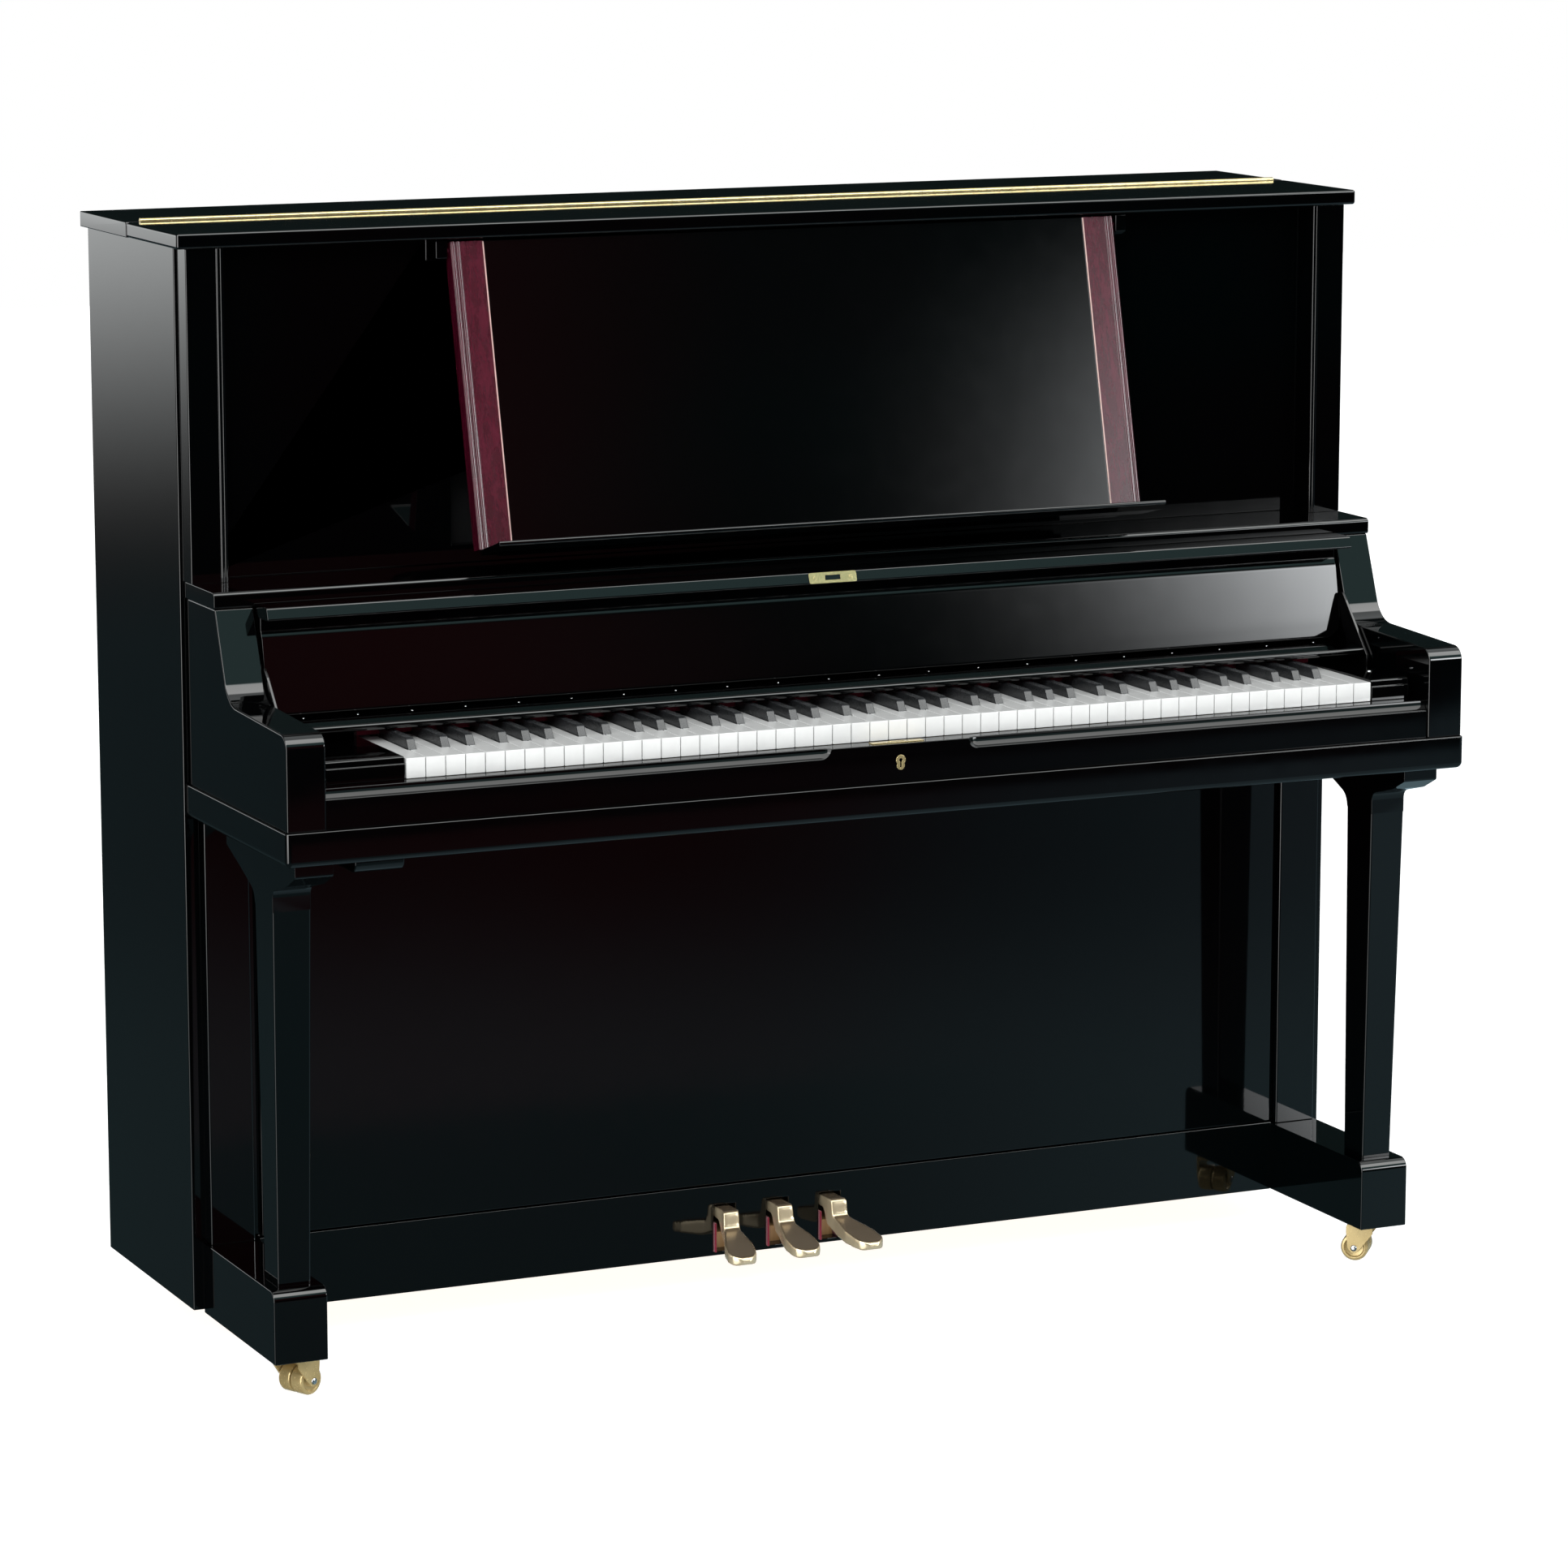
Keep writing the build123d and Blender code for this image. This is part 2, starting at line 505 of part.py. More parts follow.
def legs():
    top = Plane.XY.offset(LEG_TOP_Z) * Pos(LEG_CENTRE_X, LEG_CENTRE_Y - 1.5) * RectangleRounded(45, 59, 2)
    foot = Plane.XY.offset(TOE_TOP_Z) * Pos(LEG_CENTRE_X, LEG_CENTRE_Y + 3) * RectangleRounded(39, 45, 2)
    leg = loft([foot, top])
    capital = [
        (-68, KEYBED_BOTTOM_Z), (-296, KEYBED_BOTTOM_Z), (-296, 618), (-268, 604), (-221, 592),
        (-221, LEG_TOP_Z), (-162, LEG_TOP_Z), (-160, 580), (-112, 600), (-68, 617),
    ]
    leg += prism(capital, LEG_CENTRE_X - 22.5, LEG_CENTRE_X + 22.5, [0, 0, 3, 24, 12, 0, 0, 20, 20, 0])
    NODES["legs"] = both_sides(leg)

    toe = block(TOE_INNER_X, TOE_OUTER_X, TOE_FRONT_Y, SIDE_FRONT_Y, BASE_Z, TOE_TOP_Z)
    toe = rounded(toe, 12, Axis.X, lambda at: at.Y < 0 and at.Z > TOE_TOP_Z - 1)
    x, y = FRONT_CASTER
    toe -= rod((x, y, BASE_Z), (x, y, BASE_Z + 32), STEM_RADIUS + RUNNING_CLEARANCE)
    NODES["toe_blocks"] = both_sides(toe)
    x, y = REAR_CASTER
    for side in (1, -1):
        socket = rod((side * x, y, BASE_Z), (side * x, y, BASE_Z + 24), STEM_RADIUS + RUNNING_CLEARANCE)
        NODES["bottom_board"] = [NODES["bottom_board"][0] - socket]


# ---- Pedals --------------------------------------------------------------------------------
def pedal_centres():
    return [PEDAL_GROUP_X - PEDAL_PITCH, PEDAL_GROUP_X, PEDAL_GROUP_X + PEDAL_PITCH]


def pedals():
    """Shoe-shaped pedals: a lever through the slot, an upright neck and a broad toe."""
    side_view = [
        (88, 106), (88, 94), (-8, 92), (-16, 74), (-40, 64), (-98, 58), (PEDAL_TIP_Y, 63), (-100, 69),
        (-32, 86), (-29, 107),
    ]
    radii = [4, 4, 8, 12, 20, 4, 3, 3, 6, 5]
    neck = PEDAL_NECK_WIDTH / 2
    tip = PEDAL_TIP_WIDTH / 2
    names = ("left_pedal", "middle_pedal", "right_pedal")
    for name, centre, splay in zip(names, pedal_centres(), (-PEDAL_SPLAY, 0.0, PEDAL_SPLAY)):
        shaft = prism(side_view, centre - tip - 20, centre + tip + 20, radii)
        right = [(neck, 95), (neck, -20), (neck + 1, -36), (tip, -68), (tip, PEDAL_TIP_Y - 1)]
        left = [(-x, y) for x, y in reversed(right)]
        plan = [(centre + x + splay * max(0.0, -20 - y), y) for x, y in right + left]
        cutter = make_face(FilletPolyline(*plan, radius=[0, 20, 20, 24, 15, 15, 24, 20, 20, 0], close=True))
        shaft &= extrude(Plane.XY.offset(40) * cutter, amount=90)
        y, z = PEDAL_PIVOT
        shaft -= rod((centre - 20, y, z), (centre + 20, y, z), AXLE_RADIUS + RUNNING_CLEARANCE)
        NODES[name] = [shaft]

    brackets = []
    for centre in pedal_centres():
        y, z = PEDAL_PIVOT
        floor = BASE_Z + 24
        x0 = centre - 18
        x1 = centre + 18
        bracket = rod((x0, y, z), (x1, y, z), AXLE_RADIUS)
        for ear in (x0, x1 - 4):
            bracket += block(ear, ear + 4, y - 12, y + 12, floor, z + 10)
        bracket += block(x0, x1, y - 12, y + 12, floor, floor + 3)
        brackets.append(bracket)
    NODES["pedal_brackets"] = brackets

    felts = []
    for centre in pedal_centres():
        for side in (1, -1):
            x0 = centre + side * SLOT_WIDTH / 2
            x1 = x0 - side * 2.5
            felt = block(min(x0, x1), max(x0, x1), LOWER_FRONT_Y - 4, SIDE_FRONT_Y, SLOT_BOTTOM_Z, SLOT_FELT_TOP_Z)
            felts.append(felt)
    NODES["pedal_felts"] = felts


# ---- Casters -------------------------------------------------------------------------------
def casters():
    """Twin-wheel casters: a fork whose two cheeks stand outside a pair of wheels on one axle."""
    places = {
        "front_right": (FRONT_CASTER, 1, 30, RIGHT_SWIVEL), "front_left": (FRONT_CASTER, -1, 30, LEFT_SWIVEL),
        "rear_right": (REAR_CASTER, 1, 22, 0.0), "rear_left": (REAR_CASTER, -1, 22, 0.0),
    }
    axle = (CASTER_TRAIL, WHEEL_RADIUS)
    crown_z = BASE_Z - GAP
    inside = WHEEL_GAP / 2 + WHEEL_WIDTH + GAP
    outside = inside + 3
    for name, ((x, y), side, stem_length, swivel) in places.items():
        place = Pos(side * x, y, 0) * Rot(0, 0, swivel)
        outline = [(-9, crown_z), (24, crown_z), (24, 36), (CASTER_TRAIL + 8, 16), (CASTER_TRAIL, 8),
                   (CASTER_TRAIL - 8, 16), (-9, 36)]
        fork = prism(outline, -outside, outside, [3, 3, 5, 7, 6, 7, 5])
        fork -= block(-inside, inside, -40, 60, 0, crown_z - 5)
        fork += rod((0, 0, crown_z), (0, 0, crown_z + stem_length), STEM_RADIUS)
        fork -= rod((-outside - 1, *axle), (outside + 1, *axle), AXLE_RADIUS + RUNNING_CLEARANCE)
        NODES[name + "_caster_fork"] = [place * fork]

        wheels = rod((-outside - 2, *axle), (outside + 2, *axle), AXLE_RADIUS)
        for x0 in (WHEEL_GAP / 2, -WHEEL_GAP / 2 - WHEEL_WIDTH):
            wheel = rod((x0, *axle), (x0 + WHEEL_WIDTH, *axle), WHEEL_RADIUS)
            wheels += fillet(wheel.edges(), 2.5)
        NODES[name + "_caster_wheels"] = [place * wheels]


# ---- Inside --------------------------------------------------------------------------------
def back_frame():
    inner = INNER_HALF_WIDTH
    floor = BASE_Z + 24
    front = FRAME_FRONT_Y
    frame = block(-inner, inner, front, BACK_Y, 1180, CASE_TOP_Z)
    frame += block(-inner, inner, front, BACK_Y, floor, floor + 100)
    pitch = (2 * inner - BACK_POST_WIDTH) / (POST_COUNT - 1)
    for index in range(POST_COUNT):
        x0 = -inner + index * pitch
        frame += block(x0, x0 + BACK_POST_WIDTH, front, BACK_Y, floor + 100, 1180)
    liner = block(-inner, inner, SOUNDBOARD_FRONT_Y + SOUNDBOARD_THICKNESS, front, floor, CASE_TOP_Z)
    liner -= block(-inner + 45, inner - 45, 200, front + 1, floor + 90, 1060)
    board_back = SOUNDBOARD_FRONT_Y + SOUNDBOARD_THICKNESS
    pin_block = block(-inner, inner, PLATE_BACK_Y, board_back, 1070, CASE_TOP_Z)
    NODES["back_frame"] = [frame, liner, pin_block]

    board = block(-inner, inner, SOUNDBOARD_FRONT_Y, board_back, floor, 1070)
    ribs = []
    rib_count = 9
    for index in range(rib_count):
        z = 215 + index * 95
        ribs.append(block(-inner + 50, inner - 50, board_back, FRAME_FRONT_Y - 4, z, z + 22))
    NODES["soundboard"] = [board] + ribs + bridges()


def bridges():
    """Bass bridge and the treble bridge's three stretches, on the front of the soundboard."""
    depth = SOUNDBOARD_FRONT_Y - BRIDGE_FRONT_Y
    face = Plane(origin=(0, SOUNDBOARD_FRONT_Y, 0), x_dir=(1, 0, 0), z_dir=(0, -1, 0))
    pieces = [block(-400, -220, BRIDGE_FRONT_Y, SOUNDBOARD_FRONT_Y, 345, 375)]
    for x0, x1 in ((-160, 80), (140, 370), (430, 620)):
        z0 = 430 + 0.55 * (x0 + 160)
        z1 = 430 + 0.55 * (x1 + 160)
        outline = Polyline((x0, z0), (x1, z1), (x1, z1 + 34), (x0, z0 + 34), close=True)
        pieces.append(extrude(face * make_face(outline), amount=depth))
    return pieces


def iron_plate():
    """Cast plate with a window for the tuning pins and tall windows between its struts."""
    half = 700.0
    floor = BASE_Z + 24
    plate = block(-half, half, PLATE_FRONT_Y, PLATE_BACK_Y, floor + 60, 1230)
    plate -= block(-half + 40, half - 40, 180, 220, 1085, 1180)
    strut_xs = [-half, -430, -190, 110, 400, half]
    for left, right in zip(strut_xs, strut_xs[1:]):
        plate -= block(left + 26, right - 26, 180, 220, 330, 1040)
    for x in strut_xs[1:-1]:
        plate += block(x - 13, x + 13, PLATE_FRONT_Y - 20, PLATE_FRONT_Y, 250, 1070)
    NODES["iron_plate"] = [plate]


def string_places():
    """Tuning pin and hitch point, in X and Z, of each note's string."""
    places = []
    for index in range(STRING_COUNT):
        x = -STRING_SPAN_X / 2 + STRING_SPAN_X * index / (STRING_COUNT - 1)
        pin_z = 1100 + 18 * (index % 3)
        if index < BASS_STRING_COUNT:
            places.append((x, pin_z, x + 190, 290.0))
        else:
            share = (index - BASS_STRING_COUNT) / (STRING_COUNT - BASS_STRING_COUNT)
            places.append((x, pin_z, x - 60 * (1 - share), 290 + 520 * share))
    return places


def strings():
    pins = []
    wires = []
    for index, (x, pin_z, hitch_x, hitch_z) in enumerate(string_places()):
        bass = index < BASS_STRING_COUNT
        pins.append(rod((x, 150, pin_z), (x, PLATE_BACK_Y, pin_z), 3.4))
        y = 166.0 if bass else 170.5
        radius = 1.3 if bass else 0.6
        wires.append(rod((x, y, pin_z - 6), (hitch_x, y, hitch_z), radius))
    NODES["tuning_pins"] = pins
    NODES["strings"] = wires


def action():
    """Hammers and the rails and brackets that carry them, above the backs of the keys."""
    half = STRING_SPAN_X / 2 + 45
    action_frame = block(-half, half, 70, 92, 860, 885) + block(-half, half, 72, 90, 985, 1003)
    for x, foot in ((-half, KEYBED_TOP_Z), (-210, 760), (210, 760), (half, KEYBED_TOP_Z)):
        action_frame += block(x - 5, x + 5, 74, 88, foot, 1010)
    NODES["action_frame"] = [action_frame]

    hammers = []
    for index in range(STRING_COUNT):
        x = -STRING_SPAN_X / 2 + STRING_SPAN_X * index / (STRING_COUNT - 1)
        if min(abs(x - bracket) for bracket in (-210, 210)) < 9:
            x += 9 if x > 0 else -9
        shank = rod((x, 100, 887), (x, 112, 1012), 2.6)
        head = prism([(98, 1004), (98, 1022), (152, 1016), (152, 1010)], x - 4, x + 4)
        hammers.append(shank + head)
    NODES["hammers"] = hammers


# ---- Build ---------------------------------------------------------------------------------
def build():
    side_panels()
    lid()
    lid_hinge()
    upper_case()
    music_desk()
    cheeks()
    keybed()
    keyslip()
    key_blocks()
    keyboard()
    key_frame()
    nameboard_rail()
    fallboard()
    swing_arms()
    lower_case()
    legs()
    pedals()
    casters()
    back_frame()
    iron_plate()
    strings()
    action()


build()
os.makedirs("parts", exist_ok=True)
for node, solids in NODES.items():
    shapes = [solid for item in solids for solid in item.solids()]
    shape = shapes[0] if len(shapes) == 1 else Compound(shapes)
    export_step(shape, f"parts/{node}.step")
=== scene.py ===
"""Upright piano: the finished looks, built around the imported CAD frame. Metres, +Z up."""

import json
import math

import bmesh
import bpy
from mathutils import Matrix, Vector
from mathutils.bvhtree import BVHTree


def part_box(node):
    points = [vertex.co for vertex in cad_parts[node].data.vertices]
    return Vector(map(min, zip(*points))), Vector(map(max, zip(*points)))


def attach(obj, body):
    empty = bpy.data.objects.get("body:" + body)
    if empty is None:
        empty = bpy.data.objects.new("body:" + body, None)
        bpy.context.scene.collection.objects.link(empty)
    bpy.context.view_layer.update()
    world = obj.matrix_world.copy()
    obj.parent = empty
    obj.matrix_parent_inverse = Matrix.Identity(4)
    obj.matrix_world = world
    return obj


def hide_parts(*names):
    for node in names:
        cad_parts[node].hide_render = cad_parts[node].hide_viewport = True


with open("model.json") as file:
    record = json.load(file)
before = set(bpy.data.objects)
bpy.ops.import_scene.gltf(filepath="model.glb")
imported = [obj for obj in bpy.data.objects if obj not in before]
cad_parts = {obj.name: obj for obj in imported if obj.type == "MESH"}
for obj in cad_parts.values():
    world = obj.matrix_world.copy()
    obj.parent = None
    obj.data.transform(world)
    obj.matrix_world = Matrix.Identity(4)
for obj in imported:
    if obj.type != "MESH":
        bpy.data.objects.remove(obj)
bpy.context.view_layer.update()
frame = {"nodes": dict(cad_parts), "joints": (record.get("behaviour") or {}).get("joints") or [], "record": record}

NODES = frame["nodes"]
BODY_OF = {node: body for body, nodes in frame["record"]["behaviour"]["bodies"].items() for node in nodes}
SLOT_OF = {part["node"]: part["material_slot"] for part in frame["record"]["subparts"]}
JOINTS = {joint["name"]: joint for joint in frame["joints"]}
MM = 0.001
DESK_LEAN = math.radians(13.4)          # lean of the music desk at rest

scene = bpy.context.scene
scene.view_settings.view_transform = "Standard"
scene.view_settings.look = "None"


# ---- Camera --------------------------------------------------------------------------------
CAMERA_PLACE = (-2.7923, -6.0607, 1.8476)
CAMERA_YAW = 24.732
CAMERA_PITCH = -10.435
CAMERA_LENS = 130.0         # millimetres, on a sensor 36 mm wide
CAMERA_SENSOR = 36.0
CAMERA_REACH = 60.0

camera_data = bpy.data.cameras.new("camera")
camera_data.lens = CAMERA_LENS
camera_data.sensor_width = CAMERA_SENSOR
camera_data.clip_end = CAMERA_REACH
camera = bpy.data.objects.new("camera", camera_data)
camera.location = CAMERA_PLACE
camera.rotation_euler = (math.radians(90 + CAMERA_PITCH), 0, -math.radians(CAMERA_YAW))
scene.collection.objects.link(camera)
scene.camera = camera


# ---- Node-tree helpers ---------------------------------------------------------------------
class Tree:
    """Short names for the shader nodes that the materials and the studio use."""

    def __init__(self, tree):
        self.tree = tree

    def node(self, kind, **settings):
        made = self.tree.nodes.new(kind)
        for key, value in settings.items():
            setattr(made, key, value)
        return made

    def link(self, source, target):
        self.tree.links.new(source, target)

    def feed(self, socket, value):
        """Sets a socket to a number, or links it to another node's output."""
        if isinstance(value, bpy.types.NodeSocket):
            self.link(value, socket)
        else:
            socket.default_value = value

    def math(self, operation, *values):
        made = self.node("ShaderNodeMath", operation=operation)
        for socket, value in zip(made.inputs, values):
            self.feed(socket, value)
        return made.outputs[0]

    def smooth(self, value, low, high):
        """0 below low, 1 above high and a smooth rise between."""
        made = self.node("ShaderNodeMapRange", interpolation_type="SMOOTHSTEP")
        self.feed(made.inputs["Value"], value)
        made.inputs["From Min"].default_value = low
        made.inputs["From Max"].default_value = high
        return made.outputs["Result"]

    def window(self, value, low, high, edge):
        """1 between low and high, falling smoothly to 0 over edge on both sides."""
        rise = self.smooth(value, low - edge, low)
        fall = self.math("SUBTRACT", 1.0, self.smooth(value, high, high + edge))
        return self.math("MULTIPLY", rise, fall)

    def place(self, scale=(1, 1, 1)):
        """Object coordinates, scaled along each axis."""
        coordinates = self.node("ShaderNodeTexCoord").outputs["Object"]
        mapping = self.node("ShaderNodeMapping")
        mapping.inputs["Scale"].default_value = scale
        self.link(coordinates, mapping.inputs["Vector"])
        return mapping.outputs["Vector"]

    def noise(self, place, scale, detail=3.0, roughness=0.5, distortion=0.0):
        made = self.node("ShaderNodeTexNoise")
        self.link(place, made.inputs["Vector"])
        made.inputs["Scale"].default_value = scale
        made.inputs["Detail"].default_value = detail
        made.inputs["Roughness"].default_value = roughness
        made.inputs["Distortion"].default_value = distortion
        return made.outputs["Fac"]

    def ramp(self, value, *stops):
        """Colour ramp from (position, colour) stops."""
        made = self.node("ShaderNodeValToRGB")
        elements = made.color_ramp.elements
        while len(elements) < len(stops):
            elements.new(0.5)
        for element, (position, colour) in zip(elements, stops):
            element.position = position
            element.color = (*colour, 1.0)
        self.link(value, made.inputs["Fac"])
        return made.outputs["Color"]

    def spread(self, value, low, high):
        """Maps the middle half of a noise onto a range."""
        made = self.node("ShaderNodeMapRange")
        self.link(value, made.inputs["Value"])
        made.inputs["From Min"].default_value = 0.25
        made.inputs["From Max"].default_value = 0.75
        made.inputs["To Min"].default_value = low
        made.inputs["To Max"].default_value = high
        return made.outputs["Result"]

    def bump(self, height, strength, distance):
        made = self.node("ShaderNodeBump")
        made.inputs["Strength"].default_value = strength
        made.inputs["Distance"].default_value = distance
        self.link(height, made.inputs["Height"])
        return made.outputs["Normal"]


def new_material(name, **sockets):
    """Principled material with its constant sockets set, and its tree to build on."""
    made = bpy.data.materials.new(name)
    made.use_nodes = True
    shader = made.node_tree.nodes["Principled BSDF"]
    for key, value in sockets.items():
        shader.inputs[key.replace("_", " ")].default_value = value
    return made, Tree(made.node_tree), shader


# ---- Materials -----------------------------------------------------------------------------
def gloss_black(name="gloss_black", ior=1.52):
    """Polished black polyester: deep, with a faint maroon-to-teal painted reflection tint in its colour, and a
    trace of polishing haze.
    """
    made, t, shader = new_material(name, IOR=ior)
    # Painted reflection: slow noise between maroon-black and teal-black stands for the tinted reflections in the
    # polish.
    painted_reflection_tint = t.noise(t.place(), 2.2, 2.0)
    t.link(t.ramp(painted_reflection_tint, (0.3, (0.0007, 0.0003, 0.0004)), (0.7, (0.0003, 0.0008, 0.0009))),
           shader.inputs["Base Color"])
    haze = t.noise(t.place(), 38.0, 4.0)
    t.link(t.spread(haze, 0.025, 0.055), shader.inputs["Roughness"])
    t.link(t.bump(t.noise(t.place(), 14.0, 1.0), 0.05, 0.0004), shader.inputs["Normal"])
    return made


def grained(name, stops, along, across, gloss, coat=0.0, bump=0.15, specular=0.5):
    """Wood whose grain runs along the axis that has the small scale in along."""
    made, t, shader = new_material(name, Coat_Weight=coat, Coat_Roughness=0.05, Specular_IOR_Level=specular)
    flow = t.place(along)
    figure = t.noise(flow, across, 6.0, 0.62, 0.6)
    pores = t.noise(flow, across * 6.5, 3.0, 0.7)
    mixed = t.math("ADD", t.math("MULTIPLY", figure, 0.72), t.math("MULTIPLY", pores, 0.28))
    t.link(t.ramp(mixed, *stops), shader.inputs["Base Color"])
    t.link(t.spread(pores, gloss[0], gloss[1]), shader.inputs["Roughness"])
    t.link(t.bump(pores, bump, 0.0004), shader.inputs["Normal"])
    return made


def metal(name, stops, gloss, noise_scale=30.0, bump=0.03, metallic=1.0):
    """Metal with slow tarnish in its colour and polishing marks in its roughness."""
    made, t, shader = new_material(name, Metallic=metallic)
    tarnish = t.noise(t.place(), noise_scale, 4.0, 0.6)
    marks = t.noise(t.place(), noise_scale * 9, 3.0)
    t.link(t.ramp(tarnish, *stops), shader.inputs["Base Color"])
    t.link(t.spread(marks, gloss[0], gloss[1]), shader.inputs["Roughness"])
    t.link(t.bump(marks, bump, 0.0002), shader.inputs["Normal"])
    return made


def smooth_plastic(name, stops, gloss, scale=60.0, bump=0.04, **sockets):
    """Moulded or sprayed surface with a slow cloud in its colour and a fine orange peel."""
    made, t, shader = new_material(name, **sockets)
    cloud = t.noise(t.place(), scale, 3.0)
    fine = t.noise(t.place(), scale * 14, 2.0)
    t.link(t.ramp(cloud, *stops), shader.inputs["Base Color"])
    t.link(t.spread(fine, gloss[0], gloss[1]), shader.inputs["Roughness"])
    t.link(t.bump(fine, bump, 0.0001), shader.inputs["Normal"])
    return made


def woollen(name, stops):
    """Pressed felt: matted fibres in colour and height, with a soft sheen."""
    made, t, shader = new_material(name, Roughness=0.95, Sheen_Weight=0.5, Sheen_Roughness=0.4)
    fibres = t.noise(t.place((1.0, 1.7, 1.3)), 620.0, 5.0, 0.75, 1.2)
    t.link(t.ramp(fibres, *stops), shader.inputs["Base Color"])
    t.link(t.bump(fibres, 0.6, 0.0006), shader.inputs["Normal"])
    return made


MAHOGANY_STOPS = (
    (0.30, (0.022, 0.0008, 0.0039)), (0.52, (0.047, 0.0025, 0.0097)), (0.74, (0.080, 0.0058, 0.0185)),
)
PINE_STOPS = ((0.28, (0.30, 0.160, 0.062)), (0.50, (0.46, 0.280, 0.120)), (0.75, (0.57, 0.390, 0.190)))
SPRUCE_STOPS = ((0.28, (0.44, 0.265, 0.110)), (0.50, (0.58, 0.390, 0.185)), (0.75, (0.68, 0.500, 0.270)))

MATERIALS = {
    "black_polyester": gloss_black(),
    "mahogany": grained("mahogany", MAHOGANY_STOPS, (1, 1, 0.045), 130.0, (0.16, 0.30), coat=0.9, bump=0.10,
                        specular=0.2),
    "brass": metal("brass", ((0.3, (0.56, 0.445, 0.21)), (0.7, (0.68, 0.56, 0.29))), (0.13, 0.20), bump=0.006,
                   metallic=0.75),
    "white_key": smooth_plastic("white_key", ((0.3, (0.69, 0.705, 0.698)), (0.7, (0.73, 0.745, 0.738))),
                                (0.07, 0.16), IOR=1.49),
    "black_key": smooth_plastic("black_key", ((0.3, (0.009, 0.010, 0.011)), (0.7, (0.017, 0.018, 0.020))),
                                (0.22, 0.36), bump=0.12),
    "felt": woollen("felt", ((0.30, (0.085, 0.0015, 0.010)), (0.72, (0.250, 0.0070, 0.034)))),
    "frame_wood": grained("frame_wood", PINE_STOPS, (1, 1, 0.07), 46.0, (0.38, 0.58)),
    "spruce": grained("spruce", SPRUCE_STOPS, (1, 1, 0.05), 90.0, (0.34, 0.50), bump=0.08),
    "cast_iron": metal("cast_iron", ((0.3, (0.40, 0.27, 0.10)), (0.7, (0.52, 0.37, 0.16))), (0.34, 0.50),
                       noise_scale=90.0, bump=0.35),
    "steel": metal("steel", ((0.3, (0.50, 0.50, 0.51)), (0.7, (0.64, 0.64, 0.65))), (0.16, 0.32)),
    "hammer_felt": woollen("hammer_felt", ((0.30, (0.62, 0.58, 0.50)), (0.72, (0.82, 0.79, 0.71)))),
    "black_metal": smooth_plastic("black_metal", ((0.3, (0.008, 0.008, 0.009)), (0.7, (0.014, 0.014, 0.015))),
                                  (0.24, 0.38), Metallic=0.35),
}
COVE_BLACK = gloss_black("gloss_black_slip", 1.34)


def pedal_bronze():
    """Lacquered bronze, its colour painted lighter on the upright faces and darker on the top faces: a painted
    reflection of the dark room above.
    """
    made, t, shader = new_material("pedal_bronze", Metallic=0.55)
    normal = t.node("ShaderNodeNewGeometry").outputs["Normal"]
    split = t.node("ShaderNodeSeparateXYZ")
    t.link(normal, split.inputs[0])
    cloud = t.noise(t.place(), 45.0, 3.0)
    # Painted reflection: the base colour darkens as the face turns upwards, with a little noise mixed in.
    upward = t.math("ADD", t.smooth(split.outputs[2], 0.45, 0.93), t.math("MULTIPLY", cloud, 0.12))
    painted_reflection_by_facing = t.ramp(upward, (0.06, (0.66, 0.555, 0.37)), (0.55, (0.50, 0.405, 0.26)),
                  (1.0, (0.20, 0.150, 0.098)))
    t.link(painted_reflection_by_facing, shader.inputs["Base Color"])
    t.link(t.spread(t.noise(t.place(), 160.0, 2.0), 0.20, 0.26), shader.inputs["Roughness"])
    t.link(t.bump(cloud, 0.03, 0.0002), shader.inputs["Normal"])
    return made


BRONZE = pedal_bronze()
CASTER_BRASS = metal("caster_brass", ((0.3, (0.40, 0.300, 0.125)), (0.7, (0.50, 0.385, 0.180))), (0.20, 0.30),
                     bump=0.006, metallic=0.4)
PALE_LINE = grained("pale_inlay", ((0.3, (0.42, 0.27, 0.24)), (0.7, (0.60, 0.42, 0.38))), (1, 1, 0.05), 160.0,
                    (0.2, 0.3), coat=0.5)
# Near-black felt for the sheet that paints in the shade inside the case.
SHADE_SHEET_FELT = woollen("shade_sheet_felt", ((0.30, (0.0015, 0.0015, 0.0017)), (0.72, (0.0050, 0.0050, 0.0055))))
ARM_BLACK = smooth_plastic("arm_black", ((0.3, (0.0010, 0.0010, 0.0011)), (0.7, (0.0022, 0.0022, 0.0024))),
                           (0.12, 0.20))


# ---- Mesh helpers --------------------------------------------------------------------------
WELD = 1e-5                     # vertices closer than this are one
FLAT = math.radians(0.5)        # faces that turn by less than this are one flat face


def link_piece(name, mesh, material, body, sharp=50):
    """Adds a mesh as a piece of the object, riding on a body, with edges over sharp degrees kept crisp."""
    mesh.materials.clear()
    mesh.materials.append(material)
    mesh.shade_smooth()
    mesh.set_sharp_from_angle(angle=math.radians(sharp))
    piece = bpy.data.objects.new(name, mesh)
    scene.collection.objects.link(piece)
    weighted = piece.modifiers.new("even_normals", "WEIGHTED_NORMAL")
    weighted.keep_sharp = True
    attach(piece, body)
    return piece


def bevel_sharp(bm, width, segments, angle):
    """Rounds every edge that turns by more than angle."""
    limit = math.radians(angle)
    edges = [e for e in bm.edges if len(e.link_faces) == 2 and e.calc_face_angle(0.0) > limit]
    bmesh.ops.bevel(bm, geom=edges, offset=width, offset_type="OFFSET", segments=segments, profile=0.5,
                    affect="EDGES", clamp_overlap=False)


def cleaned(node):
    """A CAD node's shape as a fresh bmesh, with its flat faces whole."""
    bm = bmesh.new()
    bm.from_mesh(NODES[node].data)
    bmesh.ops.remove_doubles(bm, verts=bm.verts, dist=WELD)
    bmesh.ops.dissolve_limit(bm, angle_limit=FLAT, verts=bm.verts, edges=bm.edges)
    return bm


